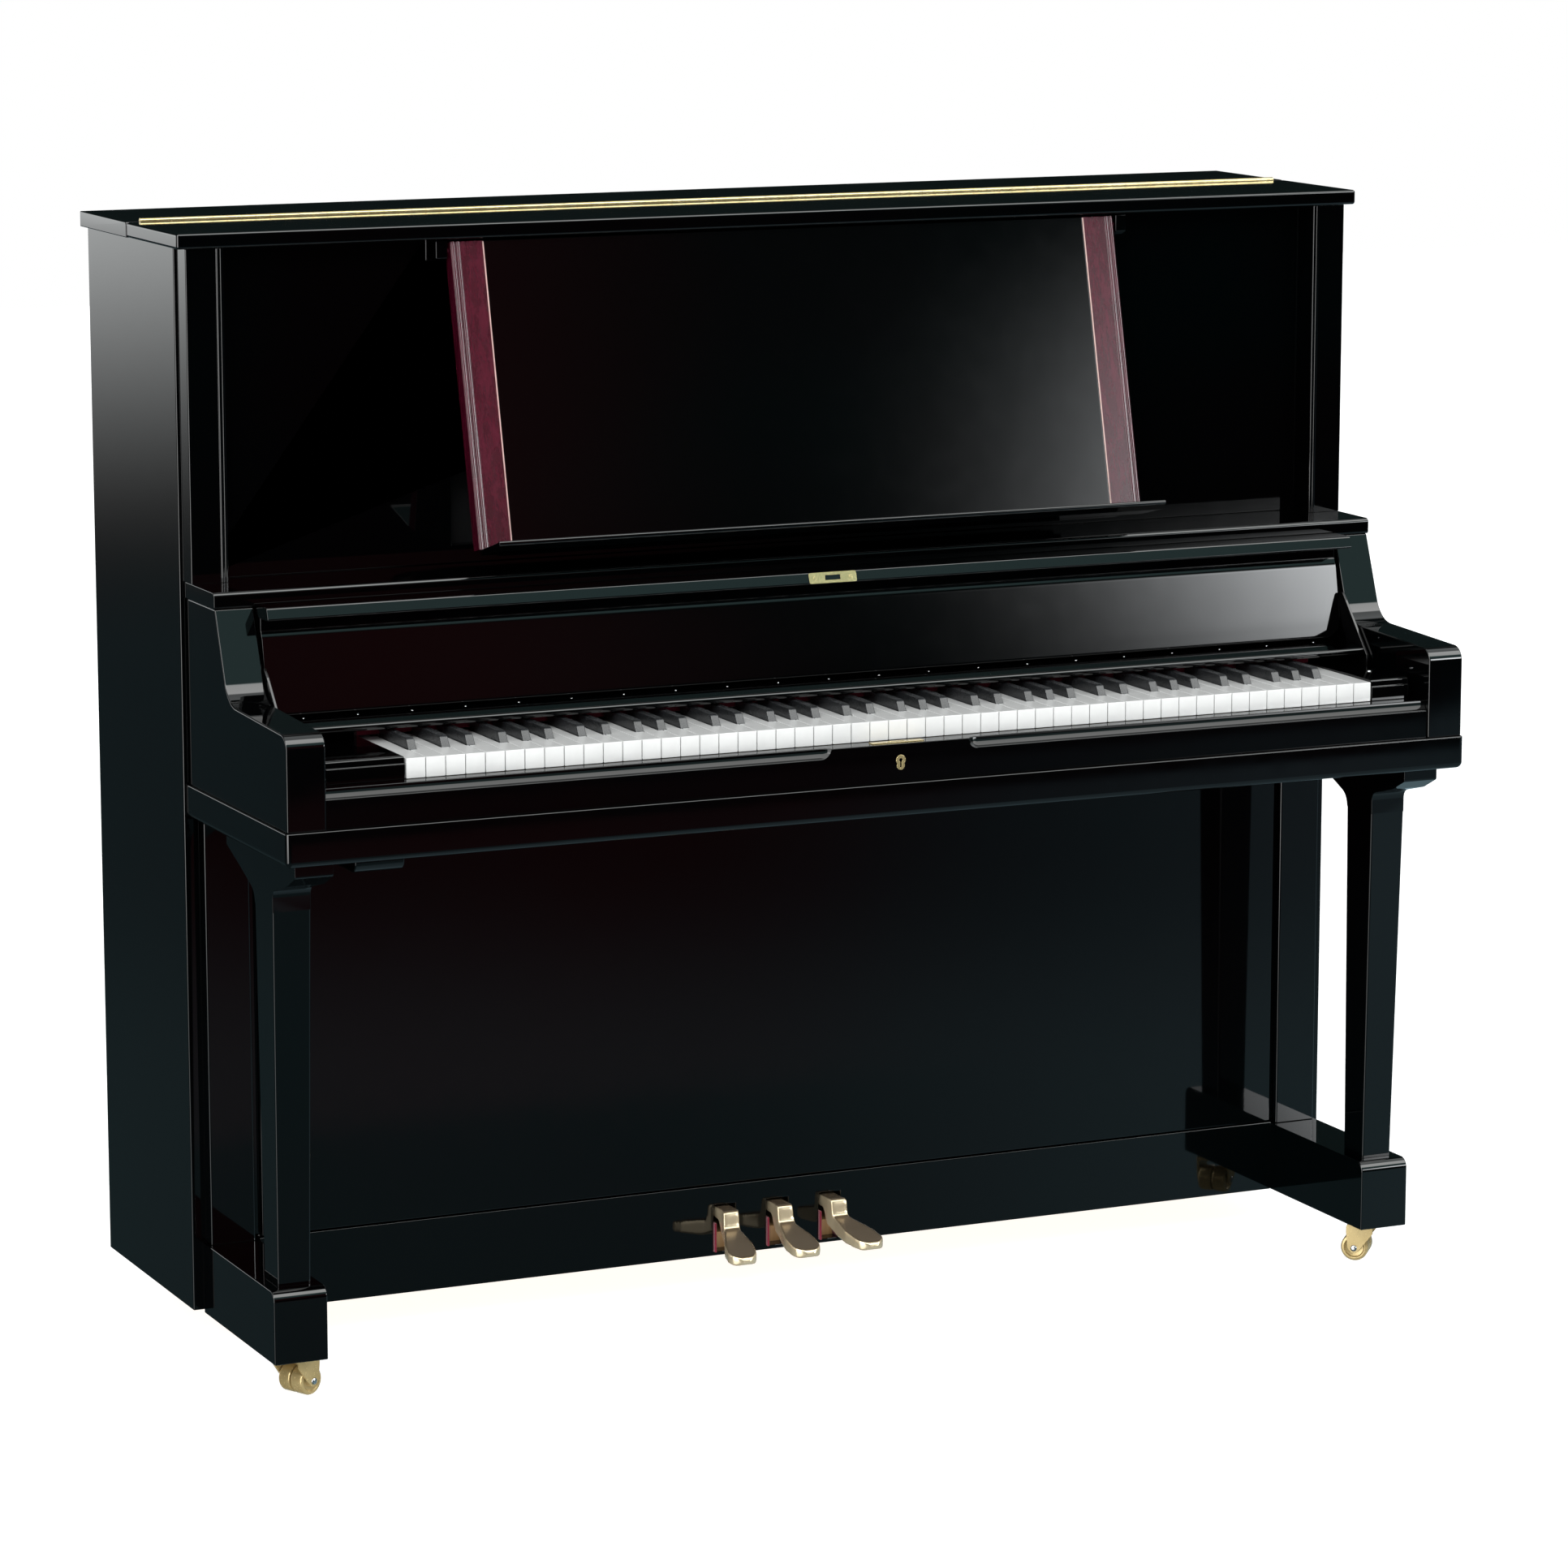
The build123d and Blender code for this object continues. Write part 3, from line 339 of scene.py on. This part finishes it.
def eased(node, width, segments=3, angle=32, material=None):
    """A copy of a CAD node with edges eased by width in millimetres, which stands for it.

    A bevel that overshoots at a very sharp corner is drawn back to the CAD surface.
    """
    bm = cleaned(node)
    surface = BVHTree.FromBMesh(bm)
    bevel_sharp(bm, width * MM, segments, angle)
    for vert in bm.verts:
        place, _, _, gap = surface.find_nearest(vert.co)
        if gap > width * MM:
            vert.co = place
    mesh = bpy.data.meshes.new(node + "_mesh")
    bm.to_mesh(mesh)
    bm.free()
    slot = SLOT_OF[node]
    piece = link_piece(node + "_finished", mesh, material or MATERIALS[slot], BODY_OF[node])
    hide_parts(node)


def lathe(bm, centre, axis, profile, steps=48):
    """Turns (distance along the axis, radius) points round an axis. The ends close on the axis or as discs."""
    axis = Vector(axis).normalized()
    side = axis.orthogonal().normalized()
    other = axis.cross(side)
    rings = []
    for along, radius in profile:
        ring = []
        for step in range(steps):
            angle = 2 * math.pi * step / steps
            spoke = side * math.cos(angle) + other * math.sin(angle)
            ring.append(bm.verts.new(Vector(centre) + axis * along + spoke * radius))
        rings.append(ring)
    for first, second in zip(rings, rings[1:]):
        for step in range(steps):
            after = (step + 1) % steps
            bm.faces.new((first[step], first[after], second[after], second[step]))
    bm.faces.new(list(reversed(rings[0])))
    bm.faces.new(rings[-1])


def add_block(bm, low, high, width):
    """Block between two corners, with edges eased by width."""
    part = bmesh.new()
    bmesh.ops.create_cube(part, size=1.0)
    low, high = Vector(low), Vector(high)
    size = high - low
    for vert in part.verts:
        vert.co = low + Vector((vert.co[i] + 0.5) * size[i] for i in range(3))
    bmesh.ops.bevel(part, geom=part.edges[:], offset=width, offset_type="OFFSET", segments=2, profile=0.5,
                    affect="EDGES", clamp_overlap=True)
    mesh = bpy.data.meshes.new("part")
    part.to_mesh(mesh)
    part.free()
    bm.from_mesh(mesh)
    bpy.data.meshes.remove(mesh)


def screw(bm, centre, axis, radius, height):
    """Domed screw head."""
    profile = [(0.0, radius), (height * 0.45, radius), (height * 0.8, radius * 0.8), (height, radius * 0.45)]
    lathe(bm, centre, axis, profile, steps=20)


def finish_mesh(bm, name):
    """Turns a bmesh into a mesh whose faces all look outwards."""
    bmesh.ops.recalc_face_normals(bm, faces=bm.faces)
    mesh = bpy.data.meshes.new(name)
    bm.to_mesh(mesh)
    bm.free()
    return mesh


# ---- Case, keyboard and inside: eased edges that catch the light -----------------------------
EDGE_MM = {
    "left_side_panel": 1.2, "right_side_panel": 1.2, "rear_lid": 1.2, "front_lid": 1.2, "upper_posts": 0.5,
    "upper_front_panel": 1.0, "shelf": 1.0, "left_cheek": 1.7, "right_cheek": 1.7, "keybed": 1.4,
    "keybed_box": 1.5, "keyslip": 1.0, "key_blocks": 0.7, "nameboard_rail": 0.8, "fallboard": 0.8,
    "lower_posts": 1.0, "lower_front_panel": 1.2, "bottom_rail": 1.2, "legs": 0.35, "toe_blocks": 1.4,
    "music_desk": 1.0, "desk_ledge": 0.5, "desk_side_strips": 0.5, "back_frame": 2.0, "bottom_board": 1.5,
    "fallboard_arms": 0.5, "pedal_brackets": 0.5, "key_felt": 0.6, "pedal_felts": 0.6, "keyslip_lock": 0.22,
    "fallboard_strike_plate": 0.2, "key_frame": 1.0, "soundboard": 1.0, "iron_plate": 2.0,
    "action_frame": 1.0,
}
OWN_MATERIAL = {"fallboard_arms": ARM_BLACK, "keyslip": COVE_BLACK}
WHITE_KEYS = ("bass_white_keys", "treble_white_keys", "key_middle_c", "key_d", "key_e")
BLACK_KEYS = ("bass_black_keys", "treble_black_keys", "key_c_sharp", "key_d_sharp")

for node_name, edge in EDGE_MM.items():
    eased(node_name, edge, material=OWN_MATERIAL.get(node_name))

for node_name in WHITE_KEYS:
    eased(node_name, 0.7, segments=2)
for node_name in BLACK_KEYS:
    eased(node_name, 1.3, angle=8)


# ---- Pedals: cast shoes, smooth all over -----------------------------------------------------
PEDAL_VOXEL = 0.0013
PEDAL_SOFTENING = 16            # passes of smoothing over the skin
TOE_BEND_Y = -0.020             # where the toe starts to turn away from the lever
TOE_RUN = 0.019                 # length over which the toe's end narrows
TOE_ROUNDING = 0.72


def round_toe(mesh):
    """Draws the toe's corners in, so that its outline ends in a curve like a shoe's."""
    tip = min(vertex.co.y for vertex in mesh.vertices)
    toe = [vertex.co.x for vertex in mesh.vertices if vertex.co.y < tip + 0.005]
    lever = [vertex.co.x for vertex in mesh.vertices if vertex.co.y > 0.0]
    toe_middle = (min(toe) + max(toe)) / 2
    lever_middle = (min(lever) + max(lever)) / 2
    for vertex in mesh.vertices:
        reach = (tip + TOE_RUN - vertex.co.y) / TOE_RUN
        if reach > 0.0:
            share = (TOE_BEND_Y - vertex.co.y) / (TOE_BEND_Y - tip)
            middle = lever_middle + (toe_middle - lever_middle) * share
            narrow = math.sqrt(1.0 - TOE_ROUNDING * min(reach, 1.0) ** 2)
            vertex.co.x = middle + (vertex.co.x - middle) * narrow


def cast_pedal(node):
    """The CAD pedal remeshed as one skin and smoothed, like a polished casting."""
    mesh = NODES[node].data.copy()
    piece = link_piece(node + "_cast", mesh, BRONZE, BODY_OF[node], sharp=180)
    piece.modifiers.clear()
    remesh = piece.modifiers.new("skin", "REMESH")
    remesh.mode = "VOXEL"
    remesh.voxel_size = PEDAL_VOXEL
    remesh.use_smooth_shade = True
    soften = piece.modifiers.new("soften", "SMOOTH")
    soften.factor = 0.6
    soften.iterations = PEDAL_SOFTENING
    shaped = piece.evaluated_get(bpy.context.evaluated_depsgraph_get())
    skin = bpy.data.meshes.new_from_object(shaped)
    piece.modifiers.clear()
    round_toe(skin)
    piece.data = skin
    for face in skin.polygons:
        face.use_smooth = True
    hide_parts(node)


for node_name in ("left_pedal", "middle_pedal", "right_pedal"):
    cast_pedal(node_name)


# ---- Casters ---------------------------------------------------------------------------------
WHEEL_WIDTH = 0.018
WHEEL_GAP = 0.00075             # from the middle of the axle to each wheel


def caster_wheels(corner):
    """Two dished brass wheels side by side on one axle, whose steel ends are domed."""
    joint = JOINTS[corner + "_roll"]
    node = corner + "_caster_wheels"
    centre = Vector(joint["pos_m"])
    axis = Vector(joint["axis"]).normalized()
    radius = centre.z
    width = WHEEL_WIDTH
    bm = bmesh.new()
    for side in (1, -1):
        # From the hub's inner face over the tread, then down the dish to the raised hub.
        profile = [
            (0.0, radius * 0.30), (0.0, radius - 0.0022), (0.0007, radius - 0.0007), (0.0024, radius),
            (width - 0.0030, radius), (width - 0.0012, radius - 0.0009), (width - 0.0004, radius - 0.0026),
            (width - 0.0006, radius - 0.0042), (width - 0.0026, radius - 0.0058),
            (width - 0.0030, radius * 0.42), (width - 0.0012, radius * 0.36), (width - 0.0010, radius * 0.24),
        ]
        lathe(bm, centre + axis * side * WHEEL_GAP, axis * side, profile, steps=56)
    mesh = finish_mesh(bm, node)
    piece = link_piece(node + "_turned", mesh, CASTER_BRASS, BODY_OF[node], sharp=38)
    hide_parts(node)
    bm = bmesh.new()
    for side in (1, -1):
        # A plain pin out through the fork, then its domed head.
        profile = [(0.0, 0.0029), (0.0225, 0.0029), (0.0226, 0.0040), (0.0234, 0.0038), (0.0241, 0.0028),
                   (0.0244, 0.0014)]
        lathe(bm, centre, axis * side, profile, steps=24)
    mesh = finish_mesh(bm, node + "_axle")
    link_piece(node + "_axle", mesh, MATERIALS["steel"], BODY_OF[node], sharp=60)


for corner in ("front_left", "front_right", "rear_left", "rear_right"):
    caster_wheels(corner)
    eased(corner + "_caster_fork", 0.5, material=CASTER_BRASS)


# ---- Small hardware and trim -----------------------------------------------------------------
STRIP_SCREWS = 21
STRIP_INSET = 0.035             # from the rail's end to the first screw
STRIP_TOP_Z = 0.7650
STRIP_BACK = 0.012              # from the fallboard's front edge to the screws
BLOCK_SCREW_SIDE = 0.018        # from the key block's outer edge
BLOCK_SCREW_BACK = 0.062        # from the key block's front edge
STRIP_LUG = 0.015               # the desk's pivot lug, outside the mahogany strip
STRIP_WIDTH = 0.041
INLAY_ACROSS = (0.0, 0.0016)
INLAY_DEPTH = (0.0088, 0.0094)  # in front of the desk's pivot
INLAY_ALONG = (-0.008, 0.345)   # down from the desk's pivot
SHADE_SHEET_THICKNESS = 0.0015
SHADE_SHEET_GAP = 0.015               # behind the shelf
UP = (0, 0, 1)


def screw_strip():
    """The row of small screws along the foot of the open fallboard."""
    low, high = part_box("nameboard_rail")
    strip_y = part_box("fallboard")[0].y + STRIP_BACK
    bm = bmesh.new()
    for index in range(STRIP_SCREWS):
        x = low.x + STRIP_INSET + (high.x - low.x - 2 * STRIP_INSET) * index / (STRIP_SCREWS - 1)
        screw(bm, (x, strip_y, STRIP_TOP_Z), UP, radius=0.0013, height=0.0005)
    mesh = finish_mesh(bm, "screws")
    link_piece("nameboard_screws", mesh, MATERIALS["steel"], "piano_case", sharp=60)


def block_screws():
    """One bright screw on each key block."""
    low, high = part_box("key_blocks")
    bm = bmesh.new()
    for side in (1, -1):
        edge = high.x if side > 0 else low.x
        place = (edge - side * BLOCK_SCREW_SIDE, low.y + BLOCK_SCREW_BACK, high.z)
        screw(bm, place, UP, radius=0.0032, height=0.0012)
    mesh = finish_mesh(bm, "screws")
    link_piece("key_block_screws", mesh, MATERIALS["steel"], "piano_case", sharp=60)


def strip_inlay():
    """Pale line down the inner edge of both mahogany strips."""
    pivot = Vector(JOINTS["desk_tilt"]["pos_m"])
    down = Vector((0, -math.sin(DESK_LEAN), -math.cos(DESK_LEAN)))
    front = Vector((0, -math.cos(DESK_LEAN), math.sin(DESK_LEAN)))
    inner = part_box("desk_side_strips")[1].x - STRIP_LUG - STRIP_WIDTH
    bm = bmesh.new()
    for side in (1, -1):
        corners = []
        for across in INLAY_ACROSS:
            for depth in INLAY_DEPTH:
                for along in INLAY_ALONG:
                    edge = Vector((side * (inner + across), pivot.y, pivot.z))
                    corners.append(edge + front * depth + down * along)
        verts = [bm.verts.new(corner) for corner in corners]
        for face in ((0, 1, 3, 2), (4, 6, 7, 5), (0, 4, 5, 1), (2, 3, 7, 6), (0, 2, 6, 4), (1, 5, 7, 3)):
            bm.faces.new([verts[i] for i in face])
    bmesh.ops.recalc_face_normals(bm, faces=bm.faces)
    bmesh.ops.bevel(bm, geom=bm.edges[:], offset=0.00018, offset_type="OFFSET", segments=2, affect="EDGES")
    link_piece("desk_strip_inlay", finish_mesh(bm, "inlay"), PALE_LINE, "music_desk", sharp=60)


def shade_sheet_inside():
    """Near-black felt sheet between the upper panel's window and the action: painted shade, a dark sheet that
    stands for the shade inside the case.
    """
    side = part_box("right_side_panel")[0].x - 0.0001     # a hair inside the case
    shelf_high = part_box("shelf")[1]
    lid_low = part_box("rear_lid")[0]
    front_y = shelf_high.y + SHADE_SHEET_GAP
    bm = bmesh.new()
    add_block(bm, (-side, front_y, shelf_high.z + 0.003), (side, front_y + SHADE_SHEET_THICKNESS, lid_low.z - 0.004),
              0.0005)
    link_piece("shade_sheet_inside", finish_mesh(bm, "shade_sheet_mesh"), SHADE_SHEET_FELT, "piano_case", sharp=60)


screw_strip()
block_screws()
shade_sheet_inside()
strip_inlay()


# ---- CAD nodes that stay as they are ---------------------------------------------------------
for node_name, node in NODES.items():
    if not node.hide_render:
        node.data.materials.clear()
        node.data.materials.append(MATERIALS[SLOT_OF[node_name]])


# ---- Studio ----------------------------------------------------------------------------------
FLOOR_HALF = 12.0
FLOOR_DROP = 0.0002             # keeps the floor just clear of the wheels


def studio_world():
    """White to the camera and soft to matt surfaces. Gloss sees a dark room with soft boxes.

    A soft box is a mask over the room's directions, all in degrees: front runs from 0 ahead of the
    keyboard to 90 on the player's right, height runs up from the horizon, and tilt runs from the
    horizon ahead of the keyboard up and over the lid.
    """
    world = bpy.data.worlds.new("studio")
    scene.world = world
    world.use_nodes = True
    t = Tree(world.node_tree)
    world.node_tree.nodes.clear()
    direction = t.node("ShaderNodeTexCoord").outputs["Generated"]
    split = t.node("ShaderNodeSeparateXYZ")
    t.link(direction, split.inputs[0])
    x, y, z = split.outputs
    to_degrees = 180 / math.pi
    front = t.math("MULTIPLY", t.math("ARCTAN2", x, t.math("MULTIPLY", y, -1.0)), to_degrees)
    height = t.math("MULTIPLY", t.math("ARCSINE", z), to_degrees)

    def lit(mask, strength, colour):
        emission = t.node("ShaderNodeEmission")
        emission.inputs["Color"].default_value = (*colour, 1.0)
        t.link(t.math("MULTIPLY", mask, strength), emission.inputs["Strength"])
        return emission.outputs[0]

    def both(first, second):
        return t.math("MULTIPLY", first, second)

    tilt = t.math("MULTIPLY", t.math("ARCTAN2", z, t.math("MULTIPLY", y, -1.0)), to_degrees)
    right_rise = t.math("POWER", t.smooth(front, 21.5, 32.5), 6.8)
    right_band = both(t.smooth(height, 7.0, 10.0), t.math("SUBTRACT", 1.0, t.smooth(height, 14.5, 19.3)))
    right_box = both(both(right_rise, t.math("SUBTRACT", 1.0, t.smooth(front, 52.0, 66.0))), right_band)
    ceiling = both(t.window(tilt, 46.0, 74.0, 6.0), t.smooth(height, 20.0, 30.0))
    ceiling_far = both(t.window(tilt, 50.0, 108.0, 10.0), t.smooth(height, 20.0, 30.0))
    front_mid = both(t.window(tilt, 27.0, 44.0, 4.0), t.window(front, -40.0, 70.0, 20.0))
    left_low = t.math("ADD", 0.4, t.math("MULTIPLY", t.smooth(height, -13.0, -10.5), 0.6))
    left_box = both(both(t.window(front, -78.0, -52.0, 8.0), t.window(height, -24.0, 34.0, 8.0)), left_low)
    back_side = t.window(front, -179.0, -128.0, 14.0)
    left_back = both(back_side, both(t.math("POWER", t.smooth(height, -10.0, -3.5), 2.5),
                                     t.math("SUBTRACT", 1.0, t.smooth(height, 2.0, 14.0))))
    left_mid = both(back_side, both(t.smooth(height, -13.5, -11.0),
                                    t.math("SUBTRACT", 1.0, t.smooth(height, -9.1, -7.4))))
    right_back = both(t.window(front, 100.0, 130.0, 12.0), t.window(height, 16.0, 36.0, 6.0))
    wine = both(t.window(front, 8.0, 21.5, 4.5), t.window(height, 8.0, 20.0, 3.0))
    slant = t.math("SUBTRACT", height, t.math("MULTIPLY", front, 0.09))
    low_wine = both(t.window(front, 6.0, 22.5, 6.0), t.window(slant, -15.6, -12.55, 0.2))
    floor_glow = both(t.math("SUBTRACT", 1.0, t.smooth(height, -13.5, -11.0)),
                      t.math("SUBTRACT", 1.0, t.math("MULTIPLY", back_side, 0.5)))
    right_low = both(t.smooth(front, 23.0, 31.5), t.math("SUBTRACT", 1.0, t.smooth(slant, -12.75, -12.4)))
    lights = [
        lit(right_box, 17.5, (0.95, 0.98, 1.0)),
        lit(ceiling, 4.6, (1.0, 1.0, 0.98)),
        lit(ceiling_far, 1.3, (0.95, 1.0, 1.0)),
        lit(front_mid, 0.55, (0.60, 1.0, 1.0)),
        lit(left_box, 5.5, (1.0, 1.0, 1.0)),
        lit(left_back, 2.1, (0.97, 1.0, 1.0)),
        lit(left_mid, 0.045, (0.60, 0.97, 1.08)),
        lit(right_back, 1.6, (0.95, 1.0, 1.0)),
        lit(wine, 0.09, (1.0, 0.04, 0.08)),
        lit(low_wine, 0.07, (1.0, 0.25, 0.30)),
        lit(right_low, 0.20, (0.65, 0.95, 1.10)),
        lit(floor_glow, 0.12, (0.60, 1.0, 1.1)),
        lit(t.smooth(height, 0.0, 9.0), 0.022, (0.6, 1.0, 1.0)),
    ]
    total = lights[0]
    for light in lights[1:]:
        add = t.node("ShaderNodeAddShader")
        t.link(total, add.inputs[0])
        t.link(light, add.inputs[1])
        total = add.outputs[0]

    rays = t.node("ShaderNodeLightPath")
    soft = t.node("ShaderNodeBackground")
    soft.inputs["Color"].default_value = (1, 1, 1, 1)
    soft.inputs["Strength"].default_value = 1.0
    mix = t.node("ShaderNodeMixShader")
    t.link(rays.outputs["Is Glossy Ray"], mix.inputs[0])
    t.link(soft.outputs[0], mix.inputs[1])
    t.link(total, mix.inputs[2])
    out = t.node("ShaderNodeOutputWorld")
    t.link(mix.outputs[0], out.inputs["Surface"])
    world.cycles.sampling_method = "NONE"    # each kind of ray finds its own world


def studio_floor():
    """Plain white floor, which gloss doesn't mirror."""
    bm = bmesh.new()
    corners = ((-1, -1), (1, -1), (1, 1), (-1, 1))
    verts = [bm.verts.new((side * FLOOR_HALF, depth * FLOOR_HALF, -FLOOR_DROP)) for side, depth in corners]
    bm.faces.new(verts)
    mesh = finish_mesh(bm, "floor")
    made, t, shader = new_material("floor_white", Roughness=0.9, Specular_IOR_Level=0.0, Emission_Strength=0.85)
    t.link(t.ramp(t.noise(t.place(), 3.0), (0.3, (0.50, 0.50, 0.50)), (0.7, (0.53, 0.53, 0.53))),
           shader.inputs["Base Color"])
    shader.inputs["Emission Color"].default_value = (1, 1, 1, 1)
    mesh.materials.append(made)
    floor = bpy.data.objects.new("floor", mesh)
    floor.visible_glossy = False
    scene.collection.objects.link(floor)


def soft_light(name, place, target, size, energy):
    """Square area light that only matt surfaces see."""
    data = bpy.data.lights.new(name, "AREA")
    data.shape = "SQUARE"
    data.size = size
    data.energy = energy
    light = bpy.data.objects.new(name, data)
    light.location = place
    light.rotation_euler = (Vector(target) - Vector(place)).to_track_quat("-Z", "Y").to_euler()
    light.visible_glossy = False
    light.visible_camera = False
    scene.collection.objects.link(light)


studio_world()
studio_floor()
soft_light("key_light", (-2.2, -3.6, 3.6), (0, 0, 0.7), size=1.6, energy=95)
soft_light("fill_light", (3.2, -3.2, 2.6), (0, 0, 0.7), size=2.2, energy=45)
